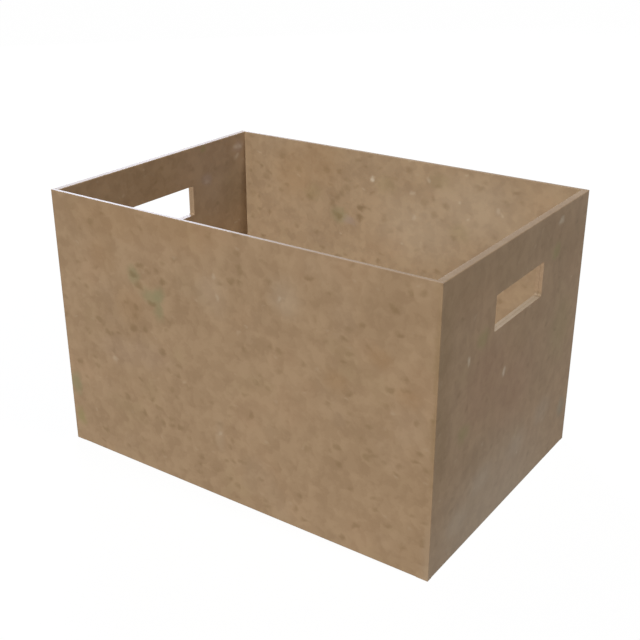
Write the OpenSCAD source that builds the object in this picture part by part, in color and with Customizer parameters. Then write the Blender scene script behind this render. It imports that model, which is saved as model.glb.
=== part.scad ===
// Archive box: an open-topped box folded and glued from one creased sheet of board.
// The side walls are one board thick. Each end wall is two boards thick, because its lining flap
// folds over the rim and is glued down the inside, and the hand hole is cut through both.
// The frame has X along the length, Y across the width and Z up from the ground, which the box
// stands on. The origin is on the ground in the middle of the box.

/* [Box] */
// Outside length, from end to end
box_length = 400; // [320:1:500]
// Outside width, from side to side
box_width = 275; // [220:1:310]
// Outside height, from the ground to the rim
box_height = 257; // [200:1:340]

/* [Board] */
// Thickness of the board
board = 3.2; // [2:0.1:4.5]
// Outside radius of a crease
crease_r = 0.7; // [0.5:0.1:1.8]

/* [End linings] */
// Gap between a lining's edge and what stands beside it
lining_gap = 0.4; // [0.3:0.1:3]
// Gap between a lining's lower edge and the flap below it
lining_foot = 1; // [0.6:0.1:5]

/* [Hand holes] */
// Width of a hand hole
hole_w = 91; // [70:1:120]
// Height of a hand hole
hole_h = 31.5; // [24:0.5:45]
// Distance from the rim down to a hand hole
hole_drop = 40.5; // [25:0.5:70]
// Corner radius of a hand hole
hole_r = 1.5; // [0.5:0.1:12]

/* [Bottom flaps] */
// Gap between the two outer flaps, along the middle of the bottom
seam_gap = 1; // [0.6:0.1:4]
// Gap between an inner flap's edge and the side wall beside it
slot_gap = 3; // [1:0.1:8]
// Length of an inner flap on the ground, before it steps up over the outer flaps
step_start = 5; // [3:0.1:10]
// Length over which an inner flap rises by one board
step_run = 6; // [3:0.1:12]

/* [Glue lap] */
// Width of the glue lap, from the outside of the end
lap_w = 35; // [25:1:50]
// Distance from the rim, and from the inner flap, to the lap's root
lap_drop = 6; // [2:0.1:20]
// Distance that the lap is cut back at both ends of its free edge
lap_taper = 10; // [2:0.1:25]

/* [Hidden] */
$fn = 48;
// Kraft brown
kraft = [0.61, 0.51, 0.40];
// Length of a cut past both faces of what it cuts
cut_margin = 1;
// The four bottom flaps are cut to one length, so that the outer two meet at the seam
flap_reach = (box_width - seam_gap) / 2;
// The outer flaps start where the inner flaps have stepped up
outer_flap_inset = step_start + step_run;
inner_flap_top = 2 * board;
inner_flap_w = box_width - 2 * (board + slot_gap);
lining_low = inner_flap_top + lining_foot;
lining_edge = box_width / 2 - board - lining_gap;
hole_low = box_height - hole_drop - hole_h;
lap_low = inner_flap_top + lap_drop;
lap_high = box_height - lap_drop;

// A rectangle that stands on the X axis, with one radius at its feet and another at its head
module soft_rectangle(width, height, foot_r, head_r) {
    translate([-width / 2, foot_r])
        square([width, height - foot_r - head_r]);
    translate([-width / 2 + foot_r, 0])
        square([width - 2 * foot_r, height / 2]);
    translate([-width / 2 + head_r, height / 2])
        square([width - 2 * head_r, height / 2]);
    for (side = [-1, 1]) {
        translate([side * (width / 2 - foot_r), foot_r])
            circle(foot_r);
        if (head_r > 0)
            translate([side * (width / 2 - head_r), height - head_r])
                circle(head_r);
    }
}

// The walls' outline from above: three corners are creases, and at the front left the cut edge of the
// front side covers the crease of the glue lap
module wall_outline() {
    difference() {
        union() {
            square([box_length - 2 * crease_r, box_width], center = true);
            square([box_length, box_width - 2 * crease_r], center = true);
            for (corner = [[1, -1], [1, 1], [-1, 1]])
                translate([corner.x * (box_length / 2 - crease_r), corner.y * (box_width / 2 - crease_r)])
                    circle(crease_r);
            translate([-box_length / 2, -box_width / 2])
                square(board);
        }
        lap_crease();
    }
}

// The groove between the front side's cut edge and the round of the lap's crease
module lap_crease() {
    translate([-box_length / 2, -box_width / 2 + board])
        difference() {
            translate([-cut_margin, 0])
                square([crease_r + cut_margin, crease_r]);
            translate([crease_r, crease_r])
                circle(crease_r);
        }
}

// The four walls, creased at the bottom all round and at the rim along both ends
module walls() {
    difference() {
        intersection() {
            linear_extrude(box_height)
                wall_outline();
            rotate([90, 0, 0])
                linear_extrude(box_width + 2 * cut_margin, center = true)
                    soft_rectangle(box_length, box_height, crease_r, crease_r);
            rotate([90, 0, 90])
                linear_extrude(box_length + 2 * cut_margin, center = true)
                    soft_rectangle(box_width, box_height, crease_r, 0);
        }
        translate([0, 0, -cut_margin])
            linear_extrude(box_height + 2 * cut_margin)
                square([box_length - 2 * board, box_width - 2 * board], center = true);
    }
}

// An outer bottom flap, folded in from the front side and lying on the ground
module outer_flap() {
    translate([-box_length / 2 + outer_flap_inset, -box_width / 2 + crease_r, 0])
        cube([box_length - 2 * outer_flap_inset, flap_reach - crease_r, board]);
}

// An inner bottom flap, folded in from the right end and stepping up to lie on the outer flaps
module inner_flap() {
    translate([box_length / 2, 0, 0])
        rotate([90, 0, 0])
            linear_extrude(inner_flap_w, center = true)
                mirror([1, 0])
                    polygon([
                        [crease_r, 0],
                        [step_start, 0],
                        [outer_flap_inset, board],
                        [flap_reach, board],
                        [flap_reach, inner_flap_top],
                        [outer_flap_inset, inner_flap_top],
                        [step_start, board],
                        [crease_r, board]
                    ]);
}

// The lining of the right end, with the crease at the rim
module lining() {
    translate([box_length / 2, 0, 0])
        rotate([90, 0, 0])
            linear_extrude(2 * lining_edge, center = true)
                mirror([1, 0]) {
                    translate([crease_r, lining_low])
                        square([2 * board - 2 * crease_r, box_height - lining_low]);
                    translate([crease_r, lining_low])
                        square([2 * board - crease_r, box_height - lining_low - crease_r]);
                    translate([2 * board - crease_r, box_height - crease_r])
                        circle(crease_r);
                }
}

// The lining of the left end, with its front edge cut back below the rim to clear the glue lap
module notched_lining() {
    difference() {
        mirror([1, 0, 0])
            lining();
        translate([-box_length / 2 - cut_margin, -lining_edge - cut_margin, lining_low - cut_margin])
            cube([
                2 * (board + cut_margin),
                board + cut_margin,
                lap_high + lining_gap - lining_low + cut_margin
            ]);
    }
}

// The lap that joins the two ends of the sheet, from the left end and glued inside the front side
module glue_lap() {
    translate([-box_length / 2, -box_width / 2 + 2 * board, 0])
        rotate([90, 0, 0])
            linear_extrude(2 * board - crease_r)
                polygon([
                    [crease_r, lap_low],
                    [lap_w, lap_low + lap_taper],
                    [lap_w, lap_high - lap_taper],
                    [crease_r, lap_high]
                ]);
}

// Both hand holes, cut through the doubled ends in one stroke
module hand_holes() {
    translate([0, 0, hole_low])
        rotate([90, 0, 90])
            linear_extrude(box_length + 2 * cut_margin, center = true)
                soft_rectangle(hole_w, hole_h, hole_r, hole_r);
}

module folded_box() {
    color(kraft)
        difference() {
            union() {
                walls();
                for (side = [0, 1]) {
                    mirror([0, side, 0])
                        outer_flap();
                    mirror([side, 0, 0])
                        inner_flap();
                }
                lining();
                notched_lining();
                glue_lap();
            }
            hand_holes();
        }
}

folded_box();
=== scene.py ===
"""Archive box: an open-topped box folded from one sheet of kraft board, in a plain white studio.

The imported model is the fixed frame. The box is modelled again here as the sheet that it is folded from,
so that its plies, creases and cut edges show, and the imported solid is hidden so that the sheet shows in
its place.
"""

from __future__ import annotations

import logging
import math
from collections.abc import Callable, Iterable
from dataclasses import dataclass
from enum import Enum, IntEnum
from typing import Any

import bmesh
import bpy
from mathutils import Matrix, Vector


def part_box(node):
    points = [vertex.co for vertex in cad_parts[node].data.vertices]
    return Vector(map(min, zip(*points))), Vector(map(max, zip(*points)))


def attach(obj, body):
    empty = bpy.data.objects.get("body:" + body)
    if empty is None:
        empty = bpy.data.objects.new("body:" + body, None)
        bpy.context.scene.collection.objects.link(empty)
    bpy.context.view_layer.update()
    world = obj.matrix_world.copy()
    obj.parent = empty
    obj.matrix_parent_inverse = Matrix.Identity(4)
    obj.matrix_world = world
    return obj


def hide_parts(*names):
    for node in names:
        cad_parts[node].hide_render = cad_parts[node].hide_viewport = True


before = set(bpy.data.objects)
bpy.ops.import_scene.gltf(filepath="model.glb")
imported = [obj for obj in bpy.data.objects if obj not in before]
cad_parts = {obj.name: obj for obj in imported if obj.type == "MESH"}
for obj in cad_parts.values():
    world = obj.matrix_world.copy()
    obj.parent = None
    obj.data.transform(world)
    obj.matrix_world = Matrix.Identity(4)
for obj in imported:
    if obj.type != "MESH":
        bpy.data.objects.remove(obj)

LOG = logging.getLogger("archive_box")
# Blender works in metres, and sizes here are written in millimetres
MM = 0.001
# Two places closer than this are the same place when faces and edges are selected
NEAR = 0.05 * MM
NODE = "folded_box"
# Two faces that turn by more than this meet at a crease or at a cut edge
FOLD_ANGLE = math.radians(60)
# Refraction of paper, and how fully its fibres show as a bump
PAPER_IOR = 1.45
BUMP_STRENGTH = 0.5
# Octaves of finer detail in a noise pattern, from smooth fibres to torn ones
SMOOTH_DETAIL = 1.0
SOFT_DETAIL = 2.0
TORN_DETAIL = 3.0
# Middle of a noise pattern's levels, and of the tones from dark to light
MIDDLE = 0.5

Point = tuple[float, float, float]
Colour = tuple[float, float, float, float]
PlaceTest = Callable[[Vector], bool]

# Places of the colour sockets on a Mix node, which shares their names with its other types
MIX_FACTOR = 0
MIX_UNDER = 6
MIX_OVER = 7
MIX_RESULT = 2


class Layer(IntEnum):
    """What a face of the sheet shows, which is also its material slot."""

    OUTSIDE = 0
    INSIDE = 1
    CUT_EDGE = 2


class Element(Enum):
    """What kind of mesh element a selection picks."""

    VERT = "VERT"
    EDGE = "EDGE"
    FACE = "FACE"


class LampKind(Enum):
    """Blender's kinds of lamp in the studio."""

    SUN = "SUN"
    AREA = "AREA"


class Tint(Enum):
    """Colours of the marks on the board, as sRGB hex."""

    GREEN = "7B7754"
    TEAL = "6F7F74"
    MOSS = "7F7A45"
    BROWN = "624A22"
    OCHRE = "6B5228"
    RUST = "8B6433"
    CLAY = "8C6250"
    GREY = "BBB3A5"
    PALE = "D6C9B4"
    MAUVE = "9C8D8E"


class Wall(Enum):
    """A face that carries marks: the axis across it, its side, and how many boards deep it lies."""

    FRONT = ("y", -1, 0)
    RIGHT_END = ("x", 1, 0)
    INSIDE_BACK = ("y", 1, 1)
    INSIDE_LEFT = ("x", -1, 2)


def linear(hex_colour: str) -> Colour:
    """Turn an sRGB hex colour to linear light.

    Args:
        hex_colour: Six hex digits, red first.

    Returns:
        Red, green, blue and a full alpha, for a shader's socket.
    """
    levels = [int(hex_colour[i:i + 2], 16) / 255 for i in (0, 2, 4)]
    red, green, blue = (v / 12.92 if v <= 0.04045 else ((v + 0.055) / 1.055) ** 2.4 for v in levels)
    return red, green, blue, 1.0


def add_node(
    tree: bpy.types.NodeTree,
    kind: str,
    inputs: dict[str | int, Any] | None = None,
    **settings: Any,
) -> bpy.types.Node:
    """Add a shader node with its settings and links.

    Args:
        tree: The node tree that the node goes into.
        kind: The node's type name.
        inputs: Input sockets by name or place, each with a value or with the socket that feeds it.
        **settings: The node's own properties.

    Returns:
        The new node.
    """
    node = tree.nodes.new(kind)
    for name, value in settings.items():
        setattr(node, name, value)
    for key, value in (inputs or {}).items():
        if isinstance(value, bpy.types.NodeSocket):
            tree.links.new(value, node.inputs[key])
        else:
            node.inputs[key].default_value = value
    return node


def start_material(name: str) -> tuple[bpy.types.Material, bpy.types.NodeTree]:
    """Make a material with an empty node tree.

    Args:
        name: The real material's name.

    Returns:
        The material and its tree.
    """
    material = bpy.data.materials.new(name)
    material.use_nodes = True
    material.node_tree.nodes.clear()
    return material, material.node_tree


@dataclass(frozen=True)
class Mark:
    """Marks of one kind on a wall: soft, ragged spots of another colour. Most are stains; a few, which
    the lists name, are painted shade and painted light. Sizes are in millimetres.

    Attributes:
        wall: The face that they are on.
        tint: Their colour.
        strength: How much of the board's own colour they cover, from 0 to 1.
        wide: Their width.
        tall: Their height.
        places: The middle of each: along the wall from the wall's middle, and down from the rim.
        core: Share of their size that is covered evenly before the edge fades.
        deep: Their depth across the wall, so that they stay on it.
    """

    wall: Wall
    tint: Tint
    strength: float
    wide: float
    tall: float
    places: tuple[tuple[float, float], ...]
    core: float = 0.2
    deep: float = 26.0

    def lay(
        self,
        tree: bpy.types.NodeTree,
        colour: bpy.types.NodeSocket,
        ragged: bpy.types.NodeSocket,
        box: FoldedBox,
    ) -> bpy.types.NodeSocket:
        """Lay the marks over a colour.

        Args:
            tree: The material's node tree.
            colour: The colour under the marks.
            ragged: Object coordinates, shaken so that the marks' edges are ragged.
            box: The box that they are on.

        Returns:
            The colour with the marks on it.
        """
        axis, facing, boards = self.wall.value
        across = facing * ((box.end if axis == "x" else box.side) - boards * box.board)
        reach = (self.deep, self.wide, self.tall) if axis == "x" else (self.wide, self.deep, self.tall)
        scale = [2 / (size * MM) for size in reach]
        scaled = add_node(tree, "ShaderNodeMapping", {"Vector": ragged, "Scale": scale}).outputs[0]
        nearest: bpy.types.NodeSocket | float = 1.0
        for along, drop in self.places:
            height = box.height - drop * MM
            middle = (across, along * MM, height) if axis == "x" else (along * MM, across, height)
            distance = add_node(
                tree,
                "ShaderNodeVectorMath",
                {0: scaled, 1: [m * s for m, s in zip(middle, scale)]},
                operation="DISTANCE",
            )
            nearest = add_node(
                tree,
                "ShaderNodeMath",
                {0: distance.outputs["Value"], 1: nearest},
                operation="MINIMUM",
            ).outputs[0]
        cover = add_node(
            tree,
            "ShaderNodeMapRange",
            {"Value": nearest, "From Min": 1.0, "From Max": self.core, "To Max": self.strength},
            interpolation_type="SMOOTHSTEP",
        )
        return add_node(
            tree,
            "ShaderNodeMix",
            {MIX_FACTOR: cover.outputs[0], MIX_UNDER: colour, MIX_OVER: linear(self.tint.value)},
            data_type="RGBA",
        ).outputs[MIX_RESULT]


# Marks on the outside of the sheet, which also faces in on the linings
OUTSIDE_STAINS_AND_PAINTED_SHADE = (
    # Warm and grey drifts on the front
    Mark(Wall.FRONT, Tint.RUST, 0.16, 150, 60, ((-130, 14), (-50, 6))),
    Mark(Wall.FRONT, Tint.RUST, 0.12, 50, 50, ((-140, 50), (-112, 92))),
    Mark(Wall.FRONT, Tint.RUST, 0.16, 34, 26, ((175, 100), (110, 102), (150, 72))),
    Mark(Wall.FRONT, Tint.MAUVE, 0.05, 80, 44, ((-127, 142), (-95, 136))),
    # Pale smudges with bright specks
    Mark(Wall.FRONT, Tint.PALE, 0.05, 50, 54, ((-14, 60), (62, 44))),
    Mark(Wall.FRONT, Tint.PALE, 0.05, 40, 42, ((60, 46),)),
    Mark(Wall.FRONT, Tint.PALE, 0.06, 16, 46, ((-12, 192),)),
    Mark(Wall.FRONT, Tint.PALE, 0.14, 7, 8, ((-9, 61), (-12, 42), (55, 46), (-12, 190), (-136, 152))),
    # Green mould with bark in and around it
    Mark(Wall.FRONT, Tint.GREEN, 0.5, 20, 28, ((-104, 62), (-74, 74), (-76, 90))),
    Mark(Wall.FRONT, Tint.GREEN, 0.56, 36, 24, ((-84, 77),)),
    Mark(Wall.FRONT, Tint.GREEN, 0.62, 20, 34, ((-193, 194),)),
    Mark(Wall.FRONT, Tint.MOSS, 0.44, 19, 28, ((-191, 229),)),
    Mark(
        Wall.FRONT,
        Tint.BROWN,
        0.42,
        13,
        9,
        ((-69, 60), (-95, 51), (-98, 71), (-84, 84), (-105, 62)),
    ),
    # Bark flecks, broad and narrow
    Mark(
        Wall.FRONT,
        Tint.BROWN,
        0.32,
        13,
        9,
        (
            (161, 29), (7, 42), (56, 92), (113, 163), (141, 162), (-85, 188), (-60, 201),
            (-152, 115), (-109, 113), (-75, 128), (-160, 165), (-158, 234), (130, 231), (160, 96),
            (-152, 22),
        ),
    ),
    Mark(
        Wall.FRONT,
        Tint.BROWN,
        0.3,
        9,
        12,
        (
            (175, 13), (17, 31), (24, 161), (-124, 188), (-80, 202), (-142, 126), (-95, 111),
            (-105, 92), (-184, 168), (185, 118), (71, 238),
        ),
    ),
    # The right end: greyed towards the ground, browner above and along the front corner
    Mark(Wall.RIGHT_END, Tint.GREY, 0.22, 330, 220, ((-30, 262),)),
    Mark(Wall.RIGHT_END, Tint.GREY, 0.12, 56, 36, ((-52, 206), (20, 206), (-92, 226), (74, 196))),
    Mark(Wall.RIGHT_END, Tint.RUST, 0.08, 190, 150, ((-25, 105),)),
    Mark(Wall.RIGHT_END, Tint.CLAY, 0.17, 130, 110, ((-50, 112), (0, 140))),
    Mark(Wall.RIGHT_END, Tint.OCHRE, 0.24, 130, 80, ((-95, 12), (-20, 20))),
    Mark(Wall.RIGHT_END, Tint.BROWN, 0.28, 130, 80, ((60, 16), (105, 36))),
    Mark(Wall.RIGHT_END, Tint.BROWN, 0.1, 120, 90, ((85, 62),)),
    Mark(Wall.RIGHT_END, Tint.BROWN, 0.08, 150, 150, ((65, 125),)),
    Mark(Wall.RIGHT_END, Tint.BROWN, 0.16, 50, 40, ((-7, 150), (10, 98), (-70, 178), (36, 84))),
    Mark(Wall.RIGHT_END, Tint.OCHRE, 0.34, 46, 140, ((-130, 60), (-130, 130)), deep=12),
    Mark(Wall.RIGHT_END, Tint.MOSS, 0.2, 70, 90, ((100, 120),)),
    Mark(Wall.RIGHT_END, Tint.MOSS, 0.42, 28, 24, ((72, 38), (-90, 143), (-65, 70))),
    Mark(Wall.RIGHT_END, Tint.TEAL, 0.24, 24, 30, ((122, 215),)),
    Mark(Wall.RIGHT_END, Tint.PALE, 0.34, 20, 10, ((77, 12),)),
    Mark(Wall.RIGHT_END, Tint.PALE, 0.42, 10, 11, ((-88, 80), (-20, 118))),
    # The inside of the left end
    Mark(Wall.INSIDE_LEFT, Tint.MAUVE, 0.09, 180, 150, ((80, 30),), deep=13),
    Mark(Wall.INSIDE_LEFT, Tint.TEAL, 0.08, 140, 100, ((100, 55),), deep=13),
    # Painted shade: darker low down towards the back corner of the left end's inside
    Mark(Wall.INSIDE_LEFT, Tint.BROWN, 0.22, 70, 80, ((112, 60),), deep=13),
    Mark(Wall.INSIDE_LEFT, Tint.MAUVE, 0.24, 26, 22, ((122, 14), (68, 39)), deep=13),
    Mark(Wall.INSIDE_LEFT, Tint.PALE, 0.26, 14, 9, ((118, 12), (124, 14), (119, 25)), deep=13),
    Mark(Wall.INSIDE_LEFT, Tint.PALE, 0.14, 10, 8, ((69, 42),), deep=13),
    Mark(Wall.INSIDE_LEFT, Tint.MOSS, 0.4, 14, 10, ((64, 5),), deep=13),
)
# Marks on the inside of the sheet, with a painted shade in the left corner
INSIDE_STAINS_AND_PAINTED_SHADE = (
    # Painted shade: darker down the back wall beside the left end, in the corner
    Mark(Wall.INSIDE_BACK, Tint.BROWN, 0.1, 50, 160, ((-190, 40),)),
    Mark(Wall.INSIDE_BACK, Tint.RUST, 0.2, 90, 90, ((-125, 35), (-95, 18))),
    Mark(Wall.INSIDE_BACK, Tint.PALE, 0.1, 150, 100, ((30, 70), (90, 40))),
    Mark(Wall.INSIDE_BACK, Tint.MOSS, 0.12, 34, 28, ((-12, 30), (-100, 53), (50, 16), (75, 64))),
    Mark(Wall.INSIDE_BACK, Tint.GREEN, 0.44, 32, 28, ((-68, 73),)),
    Mark(Wall.INSIDE_BACK, Tint.MAUVE, 0.22, 22, 15, ((-55, 76),)),
    Mark(Wall.INSIDE_BACK, Tint.BROWN, 0.26, 14, 15, ((-58, 41), (-65, 46), (-71, 53), (-77, 61))),
    Mark(Wall.INSIDE_BACK, Tint.BROWN, 0.4, 13, 12, ((-40, 60), (-42, 71), (-69, 74))),
    Mark(
        Wall.INSIDE_BACK,
        Tint.BROWN,
        0.24,
        13,
        11,
        (
            (-165, 46), (-142, 18), (-121, 30), (-106, 58), (-85, 25), (15, 10), (35, 41),
            (44, 53), (59, 41), (94, 17), (-12, 67),
        ),
    ),
    Mark(Wall.INSIDE_BACK, Tint.PALE, 0.5, 8, 8, ((-28, 26),)),
    Mark(Wall.INSIDE_BACK, Tint.PALE, 0.18, 9, 9, ((20, 34), (22, 58), (38, 16), (115, 36))),
)
# Marks on the cut edges: a pale band on the ledge of the right end's hand hole, which is a painted sheen;
# painted shade in its far corner, where the rounded corner catches the light; and grime on the upright
# edge of the left end's
CUT_STAINS_AND_PAINTED_LIGHT = (
    # Painted sheen: the ledge of the right end's hand hole is painted paler
    Mark(Wall.RIGHT_END, Tint.PALE, 0.28, 260, 9, ((0, 72),), deep=60),
    # Painted shade: darkens the hole's rounded corner, where it catches the front lamp
    Mark(Wall.RIGHT_END, Tint.BROWN, 0.46, 9, 9, ((45, 71),)),
    Mark(Wall.INSIDE_LEFT, Tint.BROWN, 0.2, 10, 70, ((46, 56),)),
)


@dataclass(frozen=True)
class Patches:
    """Patches in the pulp: ragged islands of a darker and a lighter tone.

    Attributes:
        size_mm: Size of a patch.
        weight: Share of the way from dark to light that their tones span.
        soft: How gradually one tone turns to the other, from 0 to 1.
    """

    size_mm: float
    weight: float
    soft: float


@dataclass(frozen=True)
class Clouds:
    """Broad, soft clouds of another hue in the pulp.

    Attributes:
        tint: Their colour, as sRGB hex.
        size_mm: Size of a cloud.
        start: Level of the pattern at which a cloud starts to show.
        full: Level at which it shows fully.
        strength: How much of the board's own colour a cloud covers, from 0 to 1.
    """

    tint: str
    size_mm: float
    start: float
    full: float
    strength: float

    def lay(
        self,
        tree: bpy.types.NodeTree,
        colour: bpy.types.NodeSocket,
        place: bpy.types.NodeSocket,
    ) -> bpy.types.NodeSocket:
        """Lay the clouds over a colour.

        Args:
            tree: The material's node tree.
            colour: The colour under them.
            place: Object coordinates.

        Returns:
            The colour with the clouds on it.
        """
        noise = add_node(
            tree,
            "ShaderNodeTexNoise",
            {"Vector": place, "Scale": 1 / (self.size_mm * MM), "Detail": SOFT_DETAIL},
        )
        cover = add_node(
            tree,
            "ShaderNodeMapRange",
            {
                "Value": noise.outputs[0],
                "From Min": self.start,
                "From Max": self.full,
                "To Max": self.strength,
            },
            interpolation_type="SMOOTHSTEP",
        )
        return add_node(
            tree,
            "ShaderNodeMix",
            {MIX_FACTOR: cover.outputs[0], MIX_UNDER: colour, MIX_OVER: linear(self.tint)},
            data_type="RGBA",
        ).outputs[MIX_RESULT]


@dataclass(frozen=True)
class Flecks:
    """Scattered flecks of one kind in the pulp.

    Attributes:
        tint: Their colour, as sRGB hex.
        spacing_mm: Distance from one to the next.
        radius_mm: Radius of the largest.
        strength: How much of the board's own colour the strongest covers, from 0 to 1.
        flatness: How many times wider than tall they are.
    """

    tint: str
    spacing_mm: float
    radius_mm: float
    strength: float
    flatness: float = 1.5

    def lay(
        self,
        tree: bpy.types.NodeTree,
        colour: bpy.types.NodeSocket,
        place: bpy.types.NodeSocket,
    ) -> bpy.types.NodeSocket:
        """Scatter the flecks over a colour.

        Args:
            tree: The material's node tree.
            colour: The colour under them.
            place: Object coordinates, shaken so that the flecks are ragged.

        Returns:
            The colour with the flecks on it.
        """
        flat = add_node(
            tree,
            "ShaderNodeMapping",
            {"Vector": place, "Scale": (1.0, 1.0, self.flatness)},
        )
        cells = add_node(
            tree,
            "ShaderNodeTexVoronoi",
            {"Vector": flat.outputs[0], "Scale": 1 / (self.spacing_mm * MM)},
        )
        spot = add_node(
            tree,
            "ShaderNodeMapRange",
            {
                "Value": cells.outputs["Distance"],
                "From Min": self.radius_mm / self.spacing_mm,
                "From Max": 0.0,
                "To Max": self.strength,
            },
            interpolation_type="SMOOTHSTEP",
        )
        cover = add_node(
            tree,
            "ShaderNodeMath",
            {0: spot.outputs[0], 1: cells.outputs["Color"]},
            operation="MULTIPLY",
        )
        return add_node(
            tree,
            "ShaderNodeMix",
            {MIX_FACTOR: cover.outputs[0], MIX_UNDER: colour, MIX_OVER: linear(self.tint)},
            data_type="RGBA",
        ).outputs[MIX_RESULT]


@dataclass(frozen=True)
class KraftLiner:
    """Kraft paper, the face of the board, made from recycled pulp.

    The pulp dries in patches with soft edges and drifts in hue, and it holds dark bark flecks and pale
    fibre clots. It is matt, with a faint gloss at a low angle. Along the rim it is rubbed smoother, and
    it is painted paler there, partly as wear and partly as a painted sheen.

    Attributes:
        name: The material's name.
        stains_and_painted_light: The marks on this face of the board: stains, and painted shade where the
            list says so.
        shift_mm: How far the pattern is moved, so that two faces differ.
        dark: Colour of the darkest patches.
        light: Colour of the lightest patches.
        worn_and_sheen: Colour of the rubbed rim, partly wear and partly a painted sheen.
        patches: The patches, by size.
        clouds: The drifts in hue.
        flecks: The bark flecks and the fibre clots.
        fibre_mm: Size of the fibres, drawn coarser than real so that they show.
        fibre_weight: Share of the way from dark to light that the fibres span.
        fibre_height_mm: Height of the fibres.
        ragged_mm: How far the edges of marks and patches are shaken.
        rub_and_sheen_mm: Height of the rubbed band below the rim, which is also painted paler as a
            painted sheen.
        rub_and_sheen_strength: How much of the board's own colour the paler rim colour takes, partly wear
            and partly a painted sheen, from 0 to 1.
        roughness: Roughness of the paper.
        rub_roughness: Roughness of the rubbed rim.
    """

    name: str
    stains_and_painted_light: tuple[Mark, ...]
    shift_mm: float = 0.0
    dark: str = "765B3E"
    light: str = "AE9373"
    worn_and_sheen: str = "DCC1A8"
    patches: tuple[Patches, ...] = (
        Patches(60.0, 0.08, 0.4),
        Patches(22.0, 0.11, 0.2),
        Patches(10.0, 0.12, 0.2),
    )
    clouds: tuple[Clouds, ...] = (
        Clouds("97694A", 60.0, 0.50, 0.80, 0.10),
        Clouds("8B8154", 40.0, 0.56, 0.80, 0.09),
        Clouds("A3978A", 50.0, 0.55, 0.80, 0.05),
    )
    flecks: tuple[Flecks, ...] = (
        Flecks("624A22", 17.0, 5.8, 0.38),
        Flecks("D6C7AE", 24.0, 3.6, 0.25),
    )
    fibre_mm: float = 1.8
    fibre_weight: float = 0.035
    fibre_height_mm: float = 0.05
    ragged_mm: float = 5.0
    rub_and_sheen_mm: float = 1.0
    rub_and_sheen_strength: float = 0.1
    roughness: float = 0.62
    rub_roughness: float = 0.56

    def build(self, box: FoldedBox) -> bpy.types.Material:
        """Make the material.

        Args:
            box: The box that it goes on, for its rim and the places of the marks.

        Returns:
            The finished material.
        """
        material, tree = start_material(self.name)
        place = add_node(tree, "ShaderNodeTexCoord").outputs["Object"]
        ragged = self._ragged(tree, place)
        pulp = add_node(
            tree,
            "ShaderNodeMapping",
            {"Vector": ragged, "Location": [self.shift_mm * MM] * 3},
        ).outputs[0]
        fibre = add_node(
            tree,
            "ShaderNodeTexNoise",
            {"Vector": place, "Scale": 1 / (self.fibre_mm * MM), "Detail": SMOOTH_DETAIL},
        ).outputs[0]
        colour = add_node(
            tree,
            "ShaderNodeMix",
            {
                MIX_FACTOR: self._tone(tree, pulp, fibre),
                MIX_UNDER: linear(self.dark),
                MIX_OVER: linear(self.light),
            },
            data_type="RGBA",
        ).outputs[MIX_RESULT]
        for layer in self.clouds + self.flecks:
            colour = layer.lay(tree, colour, pulp)
        for mark in self.stains_and_painted_light:
            colour = mark.lay(tree, colour, ragged, box)
        # The band along the rim is rubbed smoother and painted paler, partly as wear and partly as a
        # painted sheen
        rub_and_sheen = self._rub_and_sheen(tree, place, box)
        cover = add_node(
            tree,
            "ShaderNodeMath",
            {0: rub_and_sheen, 1: self.rub_and_sheen_strength},
            operation="MULTIPLY",
        )
        colour = add_node(
            tree,
            "ShaderNodeMix",
            {MIX_FACTOR: cover.outputs[0], MIX_UNDER: colour, MIX_OVER: linear(self.worn_and_sheen)},
            data_type="RGBA",
        ).outputs[MIX_RESULT]
        roughness = add_node(
            tree,
            "ShaderNodeMapRange",
            {"Value": rub_and_sheen, "To Min": self.roughness, "To Max": self.rub_roughness},
        )
        bump = add_node(
            tree,
            "ShaderNodeBump",
            {"Height": fibre, "Strength": BUMP_STRENGTH, "Distance": self.fibre_height_mm * MM},
        )
        paper = add_node(
            tree,
            "ShaderNodeBsdfPrincipled",
            {
                "Base Color": colour,
                "Roughness": roughness.outputs[0],
                "IOR": PAPER_IOR,
                "Normal": bump.outputs[0],
            },
        )
        add_node(tree, "ShaderNodeOutputMaterial", {"Surface": paper.outputs[0]})
        return material

    def _tone(
        self,
        tree: bpy.types.NodeTree,
        place: bpy.types.NodeSocket,
        fibre: bpy.types.NodeSocket,
    ) -> bpy.types.NodeSocket:
        """Add up the patches and the fibres into one tone.

        Args:
            tree: The material's node tree.
            place: Object coordinates, shaken so that the patches are ragged.
            fibre: The fibres' pattern.

        Returns:
            The tone from dark to light.
        """
        layers = [(fibre, self.fibre_weight)]
        for patch in self.patches:
            noise = add_node(
                tree,
                "ShaderNodeTexNoise",
                {"Vector": place, "Scale": 1 / (patch.size_mm * MM), "Detail": SOFT_DETAIL},
            )
            even = add_node(
                tree,
                "ShaderNodeMapRange",
                {
                    "Value": noise.outputs[0],
                    "From Min": MIDDLE - patch.soft / 2,
                    "From Max": MIDDLE + patch.soft / 2,
                },
                interpolation_type="SMOOTHSTEP",
            )
            layers.append((even.outputs[0], patch.weight))
        tone: bpy.types.NodeSocket | float = MIDDLE - sum(weight for _, weight in layers) / 2
        for pattern, weight in layers:
            tone = add_node(
                tree,
                "ShaderNodeMath",
                {0: pattern, 1: weight, 2: tone},
                operation="MULTIPLY_ADD",
            ).outputs[0]
        return tone

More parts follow.
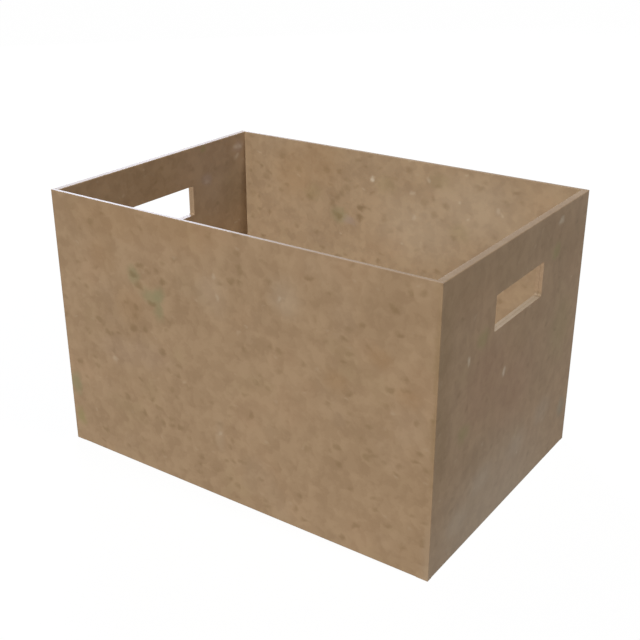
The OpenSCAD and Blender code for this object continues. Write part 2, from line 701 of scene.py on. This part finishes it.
    def _ragged(self, tree: bpy.types.NodeTree, place: bpy.types.NodeSocket) -> bpy.types.NodeSocket:
        """Shake the coordinates, so that the marks and patches have ragged edges.

        Args:
            tree: The material's node tree.
            place: Object coordinates.

        Returns:
            The shaken coordinates.
        """
        reach = 2 * self.ragged_mm * MM
        noise = add_node(
            tree,
            "ShaderNodeTexNoise",
            {"Vector": place, "Scale": 1 / reach, "Detail": TORN_DETAIL},
        )
        centred = add_node(
            tree,
            "ShaderNodeVectorMath",
            {0: noise.outputs[1], 1: (MIDDLE,) * 3},
            operation="SUBTRACT",
        )
        shaken = add_node(
            tree,
            "ShaderNodeVectorMath",
            {0: centred.outputs[0], 1: (reach, reach, reach), 2: place},
            operation="MULTIPLY_ADD",
        )
        return shaken.outputs[0]

    def _rub_and_sheen(
        self,
        tree: bpy.types.NodeTree,
        place: bpy.types.NodeSocket,
        box: FoldedBox,
    ) -> bpy.types.NodeSocket:
        """Find the band along the rim that hands and boxes rub smoother, and that is painted paler there,
        partly as wear and partly as a painted sheen.

        Args:
            tree: The material's node tree.
            place: Object coordinates.
            box: The box, whose height the rim is at.

        Returns:
            A value of 1 on the rim, down to 0 below it.
        """
        rim = add_node(
            tree,
            "ShaderNodeMapRange",
            {
                "Value": add_node(tree, "ShaderNodeSeparateXYZ", {0: place}).outputs["Z"],
                "From Min": box.height - self.rub_and_sheen_mm * MM,
                "From Max": box.height,
            },
            interpolation_type="SMOOTHSTEP",
        )
        return rim.outputs[0]


@dataclass(frozen=True)
class CutEdge:
    """The die-cut edge of the board: torn fibres, paler and a little smoother than the liner.

    Attributes:
        name: The material's name.
        stains_and_painted_light: The marks on the cut edges: grime, a painted sheen and a painted shade.
        dark: Colour between the fibres.
        light: Colour of the fibres.
        fibre_mm: Size of the fibres, drawn coarser than real so that they show.
        bump_mm: Height of the fibres.
        roughness: Roughness of the pressed edge.
    """

    name: str = "die_cut_board_edge"
    stains_and_painted_light: tuple[Mark, ...] = CUT_STAINS_AND_PAINTED_LIGHT
    dark: str = "8C7256"
    light: str = "AC9276"
    fibre_mm: float = 2.0
    bump_mm: float = 0.08
    roughness: float = 0.5

    def build(self, box: FoldedBox) -> bpy.types.Material:
        """Make the material.

        Args:
            box: The box that it goes on, for the places of the marks.

        Returns:
            The finished material.
        """
        material, tree = start_material(self.name)
        place = add_node(tree, "ShaderNodeTexCoord").outputs["Object"]
        noise = add_node(
            tree,
            "ShaderNodeTexNoise",
            {"Vector": place, "Scale": 1 / (self.fibre_mm * MM), "Detail": TORN_DETAIL},
        )
        colour = add_node(
            tree,
            "ShaderNodeMix",
            {
                MIX_FACTOR: noise.outputs[0],
                MIX_UNDER: linear(self.dark),
                MIX_OVER: linear(self.light),
            },
            data_type="RGBA",
        ).outputs[MIX_RESULT]
        for mark in self.stains_and_painted_light:
            colour = mark.lay(tree, colour, place, box)
        bump = add_node(
            tree,
            "ShaderNodeBump",
            {"Height": noise.outputs[0], "Strength": BUMP_STRENGTH, "Distance": self.bump_mm * MM},
        )
        board = add_node(
            tree,
            "ShaderNodeBsdfPrincipled",
            {
                "Base Color": colour,
                "Roughness": self.roughness,
                "IOR": PAPER_IOR,
                "Normal": bump.outputs[0],
            },
        )
        add_node(tree, "ShaderNodeOutputMaterial", {"Surface": board.outputs[0]})
        return material


def select(kind: Element, test: PlaceTest) -> int:
    """Select the elements of the mesh in edit mode whose middle passes a test, and no others.

    Args:
        kind: Vertices, edges or faces.
        test: Says whether a middle point is wanted.

    Returns:
        How many were selected.
    """
    mesh = bmesh.from_edit_mesh(bpy.context.edit_object.data)
    bpy.ops.mesh.select_mode(type=kind.value)
    bpy.ops.mesh.select_all(action="DESELECT")
    elements = {Element.VERT: mesh.verts, Element.EDGE: mesh.edges, Element.FACE: mesh.faces}[kind]
    count = 0
    for element in elements:
        if kind is Element.FACE:
            middle = element.calc_center_median()
        elif kind is Element.EDGE:
            middle = (element.verts[0].co + element.verts[1].co) / 2
        else:
            middle = element.co
        if test(middle):
            element.select_set(True)
            count += 1
    mesh.select_flush_mode()
    bmesh.update_edit_mesh(bpy.context.edit_object.data)
    return count


def fold_out(*moves: Iterable[float]) -> None:
    """Extrude the selected edges, once for each move, as panels of the sheet.

    Args:
        *moves: How far each panel reaches, in metres along X, Y and Z.
    """
    for move in moves:
        bpy.ops.mesh.extrude_edges_move(TRANSFORM_OT_translate={"value": tuple(move)})


def score(test: PlaceTest, point: Point, normal: Point) -> None:
    """Cut the faces that pass a test along a plane, so that a panel can start there.

    Args:
        test: Says whether a face is cut, by its middle.
        point: A point on the plane.
        normal: The plane's normal.
    """
    select(Element.FACE, test)
    bpy.ops.mesh.bisect(plane_co=point, plane_no=normal)


@dataclass
class FoldedBox:
    """The box, folded from one sheet of board. Sizes are in metres, outside unless they say otherwise.

    Attributes:
        length: Along X, from end to end.
        width: Along Y, from side to side.
        height: Along Z, from the ground to the rim.
        board: Thickness of the board.
        glue: Gap between two glued plies.
        crease_r: Outside radius of a crease.
        edge_r: Rounding of a cut edge.
        lining_gap: Gap between a lining's edge and what stands beside it.
        lining_foot: Gap between a lining's lower edge and the flap below it.
        hole_w: Width of a hand hole.
        hole_h: Height of a hand hole.
        hole_drop: Distance from the rim down to a hand hole.
        hole_r: Corner radius of a hand hole.
        seam_gap: Gap between the two outer flaps.
        slot_gap: Gap between an inner flap's edge and the side wall beside it.
        step_start: Length of an inner flap on the ground.
        step_run: Length over which an inner flap rises by one board.
        lap_w: Width of the glue lap.
        lap_drop: Distance from the rim, and from the inner flap, to the lap's root.
        lap_taper: Distance that the lap is cut back at both ends of its free edge.
        relief: Length over which a cut ends beside a crease.
        crease_steps: Facets round a crease.
        edge_steps: Facets round a cut edge.
        hole_steps: Facets round a corner of a hand hole.
    """

    length: float
    width: float
    height: float
    board: float = 3.2 * MM
    glue: float = 0.06 * MM
    crease_r: float = 0.7 * MM
    edge_r: float = 0.2 * MM
    lining_gap: float = 0.4 * MM
    lining_foot: float = 1.0 * MM
    hole_w: float = 91.0 * MM
    hole_h: float = 31.5 * MM
    hole_drop: float = 40.5 * MM
    hole_r: float = 1.5 * MM
    seam_gap: float = 1.0 * MM
    slot_gap: float = 3.0 * MM
    step_start: float = 5.0 * MM
    step_run: float = 6.0 * MM
    lap_w: float = 35.0 * MM
    lap_drop: float = 6.0 * MM
    lap_taper: float = 10.0 * MM
    relief: float = 0.4 * MM
    crease_steps: int = 4
    edge_steps: int = 2
    hole_steps: int = 5

    def __post_init__(self) -> None:
        """Work out the places that the panels share."""
        self.end = self.length / 2
        self.side = self.width / 2
        self.ply = self.board + self.glue
        self.flap_reach = (self.width - self.seam_gap) / 2
        self.outer_inset = self.step_start + self.step_run
        self.inner_half = self.side - self.board - self.slot_gap
        self.lining_edge = self.side - self.board - self.lining_gap
        self.lining_low = 2 * self.board + self.lining_foot
        self.hole_low = self.height - self.hole_drop - self.hole_h
        self.lap_low = 2 * self.board + self.lap_drop
        self.lap_high = self.height - self.lap_drop

    def build(self, finishes: dict[Layer, bpy.types.Material]) -> bpy.types.Object:
        """Fold the sheet, give it its thickness and dress it.

        Args:
            finishes: The material of each layer.

        Returns:
            The finished piece.
        """
        box = self._walls()
        for layer in Layer:
            box.data.materials.append(finishes[layer])
        bpy.ops.object.mode_set(mode="EDIT")
        self._open_glue_corner()
        self._fold_linings()
        self._fold_bottom()
        self._fold_lap()
        bpy.ops.object.mode_set(mode="OBJECT")
        self._thicken(box)
        self._cut_hand_holes(box, finishes[Layer.CUT_EDGE])
        self._round_edges(box)
        return box

    def _walls(self) -> bpy.types.Object:
        """Start from a block of the box's size and keep its four sides.

        Returns:
            The new object, active and alone in the selection.
        """
        bpy.ops.object.select_all(action="DESELECT")
        bpy.ops.mesh.primitive_cube_add(size=1, location=(0, 0, self.height / 2))
        box = bpy.context.active_object
        box.name = "folded_sheet"
        box.data.name = "folded_sheet"
        box.scale = (self.length, self.width, self.height)
        bpy.ops.object.transform_apply(location=True, rotation=True, scale=True)
        bpy.ops.object.mode_set(mode="EDIT")
        select(Element.FACE, lambda p: min(p.z, self.height - p.z) < NEAR)
        bpy.ops.mesh.delete(type="ONLY_FACE")
        bpy.ops.object.mode_set(mode="OBJECT")
        return box

    def _at_end(self, p: Vector) -> bool:
        """Say whether a point lies on the outside of an end wall."""
        return abs(abs(p.x) - self.end) < NEAR

    def _open_glue_corner(self) -> None:
        """Part the sheet at the front left corner, where the left end goes behind the front side."""
        select(Element.EDGE, lambda p: (p - Vector((-self.end, -self.side, p.z))).length < NEAR)
        bpy.ops.mesh.edge_split(type="EDGE")
        mesh = bmesh.from_edit_mesh(bpy.context.edit_object.data)
        bpy.ops.mesh.select_all(action="DESELECT")
        left_end = next(f for f in mesh.faces if abs(f.calc_center_median().x + self.end) < NEAR)
        for vert in left_end.verts:
            vert.select_set(vert.co.y < 0)
        bpy.ops.transform.translate(value=(0, self.ply, 0))

    def _fold_linings(self) -> None:
        """Fold each end's lining over the rim and down the inside."""
        thick = self.board + self.ply
        notch_y = self.ply - self.lining_edge
        notch_z = self.lap_high + self.lining_gap
        for facing in (-1, 1):
            # The left end's own front edge stands behind the front side, and its lining starts there
            front = self.ply - self.side if facing < 0 else -self.lining_edge
            back = self.lining_edge
            for edge in (front - self.relief, front, notch_y, back, back + self.relief):
                score(lambda p: abs(p.x - facing * self.end) < NEAR, (0, edge, 0), (0, 1, 0))
            select(
                Element.EDGE,
                lambda p: abs(p.x - facing * self.end) < NEAR
                and abs(p.z - self.height) < NEAR
                and front < p.y < back,
            )
            fold_out((-facing * thick, 0, 0), (0, 0, notch_z - self.height))
            # Below the notch level, the left lining is cut back to clear the glue lap
            low_front = notch_y if facing < 0 else front
            select(
                Element.EDGE,
                lambda p: abs(p.x - facing * (self.end - thick)) < NEAR
                and abs(p.z - notch_z) < NEAR
                and low_front < p.y < back,
            )
            fold_out((0, 0, self.lining_low - notch_z))

    def _fold_bottom(self) -> None:
        """Fold the outer flaps in along the ground, and the inner flaps over them."""
        inset_at = self.end - self.outer_inset
        for edge in (-inset_at - self.relief, -inset_at, inset_at, inset_at + self.relief):
            score(lambda p: abs(abs(p.y) - self.side) < NEAR, (edge, 0, 0), (1, 0, 0))
        for facing in (-1, 1):
            select(
                Element.EDGE,
                lambda p: abs(p.y - facing * self.side) < NEAR and p.z < NEAR and abs(p.x) < inset_at,
            )
            fold_out((0, -facing * self.flap_reach, 0))
        half = self.inner_half
        for edge in (-half - self.relief, -half, half, half + self.relief):
            score(self._at_end, (0, edge, 0), (0, 1, 0))
        for facing in (-1, 1):
            select(
                Element.EDGE,
                lambda p: abs(p.x - facing * self.end) < NEAR and p.z < NEAR and abs(p.y) < half,
            )
            fold_out(
                (-facing * self.step_start, 0, 0),
                (-facing * self.step_run, 0, self.ply),
                (-facing * (self.flap_reach - self.outer_inset), 0, 0),
            )

    def _fold_lap(self) -> None:
        """Fold the glue lap from the left end to the inside of the front side."""
        root_y = -self.side + self.ply
        low, high = self.lap_low, self.lap_high
        for edge in (low - self.relief, low, high, high + self.relief):
            score(lambda p: abs(p.x + self.end) < NEAR and p.y > root_y, (0, 0, edge), (0, 0, 1))
        select(
            Element.EDGE,
            lambda p: abs(p.x + self.end) < NEAR and abs(p.y - root_y) < NEAR and low < p.z < high,
        )
        fold_out((self.lap_w, 0, 0))
        tip_x = -self.end + self.lap_w
        for level, cut_back in ((low, self.lap_taper), (high, -self.lap_taper)):
            select(Element.VERT, lambda p: (p - Vector((tip_x, root_y, level))).length < NEAR)
            bpy.ops.transform.translate(value=(0, 0, cut_back))

    def _thicken(self, box: bpy.types.Object) -> None:
        """Give the sheet the board's thickness, towards its inside.

        Args:
            box: The folded sheet.
        """
        bpy.ops.object.mode_set(mode="EDIT")
        bpy.ops.mesh.select_all(action="SELECT")
        bpy.ops.mesh.normals_make_consistent(inside=False)
        bpy.ops.object.mode_set(mode="OBJECT")
        front = next(f for f in box.data.polygons if abs(f.center.y + self.side) < NEAR)
        if front.normal.y > 0:
            box.data.flip_normals()
        shell = box.modifiers.new("board", "SOLIDIFY")
        shell.thickness = self.board
        shell.offset = -1
        shell.solidify_mode = "NON_MANIFOLD"
        shell.nonmanifold_thickness_mode = "CONSTRAINTS"
        shell.nonmanifold_boundary_mode = "NONE"
        shell.material_offset = Layer.INSIDE
        shell.material_offset_rim = Layer.CUT_EDGE
        bpy.ops.object.modifier_apply(modifier=shell.name)

    def _cut_hand_holes(self, box: bpy.types.Object, edge: bpy.types.Material) -> None:
        """Cut both hand holes through the doubled ends with one round-cornered block.

        Args:
            box: The thickened sheet.
            edge: The material of the cut.
        """
        bpy.ops.object.select_all(action="DESELECT")
        middle = self.hole_low + self.hole_h / 2
        bpy.ops.mesh.primitive_cube_add(size=1, location=(0, 0, middle))
        cutter = bpy.context.active_object
        cutter.scale = (self.length + 2 * self.board, self.hole_w, self.hole_h)
        bpy.ops.object.transform_apply(location=True, rotation=True, scale=True)
        cutter.data.materials.append(edge)
        bpy.ops.object.mode_set(mode="EDIT")
        select(Element.EDGE, lambda p: abs(p.x) < NEAR)
        bpy.ops.mesh.bevel(offset=self.hole_r, segments=self.hole_steps, affect="EDGES")
        bpy.ops.object.mode_set(mode="OBJECT")
        bpy.ops.object.select_all(action="DESELECT")
        bpy.context.view_layer.objects.active = box
        box.select_set(True)
        hole = box.modifiers.new("hand_holes", "BOOLEAN")
        hole.object = cutter
        hole.operation = "DIFFERENCE"
        hole.solver = "EXACT"
        hole.material_mode = "TRANSFER"
        bpy.ops.object.modifier_apply(modifier=hole.name)
        bpy.data.objects.remove(cutter)

    def _round_edges(self, box: bpy.types.Object) -> None:
        """Round the creases to their radius, and take the sharpness off the cut edges.

        Args:
            box: The thickened sheet.
        """
        bpy.ops.object.mode_set(mode="EDIT")
        for radius, segments, wanted in (
            (self.crease_r, self.crease_steps, self._is_crease),
            (self.edge_r, self.edge_steps, self._is_cut),
        ):
            mesh = bmesh.from_edit_mesh(box.data)
            bpy.ops.mesh.select_mode(type="EDGE")
            bpy.ops.mesh.select_all(action="DESELECT")
            for line in mesh.edges:
                line.select_set(wanted(line))
            bmesh.update_edit_mesh(box.data)
            bpy.ops.mesh.bevel(offset=radius, segments=segments, affect="EDGES", clamp_overlap=True)
        bpy.ops.object.mode_set(mode="OBJECT")

    def _is_crease(self, line: bmesh.types.BMEdge) -> bool:
        """Say whether an edge is the outside of a crease.

        Args:
            line: An edge of the thickened sheet.

        Returns:
            True where two faces of the outside liner turn about it.
        """
        if len(line.link_faces) != 2:
            return False
        outside = all(f.material_index == Layer.OUTSIDE for f in line.link_faces)
        return outside and line.calc_face_angle_signed(0) > FOLD_ANGLE

    def _is_cut(self, line: bmesh.types.BMEdge) -> bool:
        """Say whether an edge lies between a cut face and a liner.

        Args:
            line: An edge of the thickened sheet.

        Returns:
            True where a cut face meets the outside or the inside at it.
        """
        if len(line.link_faces) != 2:
            return False
        cut = [f.material_index == Layer.CUT_EDGE for f in line.link_faces]
        return cut[0] != cut[1] and line.calc_face_angle_signed(0) > FOLD_ANGLE


@dataclass
class Studio:
    """The white studio that the box stands in, with the photograph's camera.

    Attributes:
        target: The point that the camera looks at, in metres.
        covered: Half the length and width of the floor that the box covers, in metres.
        azimuth: The camera's turn about Z, from looking along +Y, in degrees.
        elevation: The camera's height above the horizon, in degrees.
        distance: From the target to the camera, in metres.
        lens_mm: Focal length.
        sensor_mm: Width of the camera's sensor.
        clip_start: Nearest distance that the camera sees, in metres.
        lamp_distance: From the target to a lamp, in metres.
        floor_size: Side of the floor, in metres.
        ambient: Strength of the light from all round.
        floor_shade: How much of the floor's white follows the light on it, so that it keeps a shadow.
        floor_light: How bright the light on the open floor is, so that its shade and glow make white.
        floor_bounce: How much of the light on it the floor throws back on the box, from 0 to 1.
    """

    target: Vector
    covered: tuple[float, float]
    azimuth: float = 34.74
    elevation: float = 23.89
    distance: float = 0.9725
    lens_mm: float = 57.48
    sensor_mm: float = 36.0
    clip_start: float = 0.05
    lamp_distance: float = 2.5
    floor_size: float = 30.0
    ambient: float = 0.12
    floor_shade: float = 0.08
    floor_light: float = 0.8
    floor_bounce: float = 0.15

    def build(self) -> None:
        """Set up the view, the floor, the light and the camera."""
        bpy.context.scene.view_settings.view_transform = "Standard"
        self._world()
        self._floor()
        self._lamps()
        self._camera()

    def _world(self) -> None:
        """Make the white surroundings: plain white to look at, and dimmer as a light."""
        world = bpy.data.worlds.new("white_studio")
        bpy.context.scene.world = world
        world.use_nodes = True
        tree = world.node_tree
        tree.nodes.clear()
        seen = self._seen(tree)
        strength = add_node(
            tree,
            "ShaderNodeMapRange",
            {"Value": seen, "To Min": self.ambient, "To Max": 1.0},
        )
        light = add_node(
            tree,
            "ShaderNodeBackground",
            {"Color": (1, 1, 1, 1), "Strength": strength.outputs[0]},
        )
        add_node(tree, "ShaderNodeOutputWorld", {"Surface": light.outputs[0]})

    def _seen(self, tree: bpy.types.NodeTree) -> bpy.types.NodeSocket:
        """Tell the rays that see a surface, directly or in a gloss, from those that only gather light.

        Args:
            tree: The node tree to add to.

        Returns:
            A value of 1 for a camera, glossy or transmission ray.
        """
        path = add_node(tree, "ShaderNodeLightPath")
        seen = path.outputs["Is Camera Ray"]
        for name in ("Is Glossy Ray", "Is Transmission Ray"):
            seen = add_node(
                tree,
                "ShaderNodeMath",
                {0: seen, 1: path.outputs[name]},
                operation="MAXIMUM",
            ).outputs[0]
        return seen

    def _floor(self) -> None:
        """Lay the pale floor, which looks white, keeps the box's shadow and is dark under the box."""
        bpy.ops.object.select_all(action="DESELECT")
        bpy.ops.mesh.primitive_plane_add(size=self.floor_size)
        floor = bpy.context.active_object
        floor.name = "floor"
        material, tree = start_material("white_paper_sweep")
        lit = add_node(tree, "ShaderNodeBsdfDiffuse", {"Color": (self.floor_bounce,) * 3 + (1,)})
        shade = add_node(tree, "ShaderNodeBsdfDiffuse", {"Color": (self.floor_shade,) * 3 + (1,)})
        place = add_node(tree, "ShaderNodeTexCoord").outputs["Object"]
        half = add_node(tree, "ShaderNodeVectorMath", {0: place}, operation="ABSOLUTE")
        x, y, _ = add_node(tree, "ShaderNodeSeparateXYZ", {0: half.outputs[0]}).outputs
        past_x = add_node(tree, "ShaderNodeMath", {0: x, 1: self.covered[0]}, operation="GREATER_THAN")
        past_y = add_node(tree, "ShaderNodeMath", {0: y, 1: self.covered[1]}, operation="GREATER_THAN")
        bare = add_node(
            tree,
            "ShaderNodeMath",
            {0: past_x.outputs[0], 1: past_y.outputs[0]},
            operation="MAXIMUM",
        )
        strength = add_node(
            tree,
            "ShaderNodeMath",
            {0: bare.outputs[0], 1: 1 - self.floor_light * self.floor_shade},
            operation="MULTIPLY",
        )
        glow = add_node(tree, "ShaderNodeEmission", {"Strength": strength.outputs[0]})
        white = add_node(tree, "ShaderNodeAddShader", {0: shade.outputs[0], 1: glow.outputs[0]})
        surface = add_node(
            tree,
            "ShaderNodeMixShader",
            {0: self._seen(tree), 1: lit.outputs[0], 2: white.outputs[0]},
        )
        add_node(tree, "ShaderNodeOutputMaterial", {"Surface": surface.outputs[0]})
        floor.data.materials.append(material)

    def _lamps(self) -> None:
        """Light the front, the right end and, from behind on the left, the rim with its gloss."""
        # The photograph shows no cast shadows in the box, so the strongest lamp throws none
        self._lamp(
            "front",
            LampKind.SUN,
            azimuth=8.0,
            elevation=30.0,
            energy=3.08,
            angle=math.radians(3),
            use_shadow=False,
        )
        self._lamp(
            "side",
            LampKind.SUN,
            azimuth=94.0,
            elevation=30.0,
            energy=0.89,
            angle=math.radians(6),
        )
        self._lamp(
            "rim",
            LampKind.AREA,
            azimuth=230.0,
            elevation=15.0,
            energy=38.0,
            shape="DISK",
            size=0.9,
            color=(0.7, 0.8, 1.0),
        )

    def _lamp(
        self,
        name: str,
        kind: LampKind,
        azimuth: float,
        elevation: float,
        **settings: Any,
    ) -> None:
        """Add a lamp that shines at the box.

        Args:
            name: The lamp's name.
            kind: What kind of lamp it is.
            azimuth: Its turn about Z, as the camera's, in degrees.
            elevation: Its height above the horizon, in degrees.
            **settings: The lamp's own properties.
        """
        data = bpy.data.lights.new(name, kind.value)
        for key, value in settings.items():
            setattr(data, key, value)
        lamp = bpy.data.objects.new(name, data)
        bpy.context.scene.collection.objects.link(lamp)
        self._aim(lamp, azimuth, elevation, self.lamp_distance)
        lamp.visible_camera = False

    def _camera(self) -> None:
        """Place the camera where the photograph was taken from."""
        data = bpy.data.cameras.new("camera")
        data.lens = self.lens_mm
        data.sensor_width = self.sensor_mm
        data.clip_start = self.clip_start
        camera = bpy.data.objects.new("camera", data)
        bpy.context.scene.collection.objects.link(camera)
        self._aim(camera, self.azimuth, self.elevation, self.distance)
        bpy.context.scene.camera = camera

    def _aim(self, thing: bpy.types.Object, azimuth: float, elevation: float, distance: float) -> None:
        """Put a camera or lamp at an angle and a distance from the target, looking at it.

        Args:
            thing: The object to place.
            azimuth: Its turn about Z, from looking along +Y, in degrees.
            elevation: Its height above the horizon, in degrees.
            distance: From the target, in metres.
        """
        turn, rise = math.radians(azimuth), math.radians(elevation)
        back = Vector((
            math.sin(turn) * math.cos(rise),
            -math.cos(turn) * math.cos(rise),
            math.sin(rise),
        ))
        thing.location = self.target + back * distance
        thing.rotation_euler = (math.pi / 2 - rise, 0, turn)


def main() -> None:
    """Build the box and the studio around it."""
    logging.basicConfig(level=logging.INFO, format="%(name)s: %(message)s")
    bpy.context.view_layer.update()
    low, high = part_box(NODE)
    size = high - low
    box = FoldedBox(size.x, size.y, size.z)
    outside = KraftLiner("kraft_liner_outside", OUTSIDE_STAINS_AND_PAINTED_SHADE)
    # The inside is the same paper, a little greyer, with its pattern moved along the sheet; it is a
    # little paler, partly as its own colour and partly as painted light that lifts the inside of the box,
    # where less light reaches
    inside = KraftLiner(
        "kraft_liner_inside",
        INSIDE_STAINS_AND_PAINTED_SHADE,
        shift_mm=730.0,
        dark="7C644B",
        light="B39A7A",
    )
    finishes = {
        Layer.OUTSIDE: outside.build(box),
        Layer.INSIDE: inside.build(box),
        Layer.CUT_EDGE: CutEdge().build(box),
    }
    sheet = box.build(finishes)
    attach(sheet, "root")
    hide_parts(NODE)
    LOG.info("%s: %d faces", sheet.name, len(sheet.data.polygons))
    studio = Studio(
        target=(low + high) / 2,
        covered=(box.end - box.board, box.side - box.board),
    )
    studio.build()


if __name__ == "__main__":
    main()
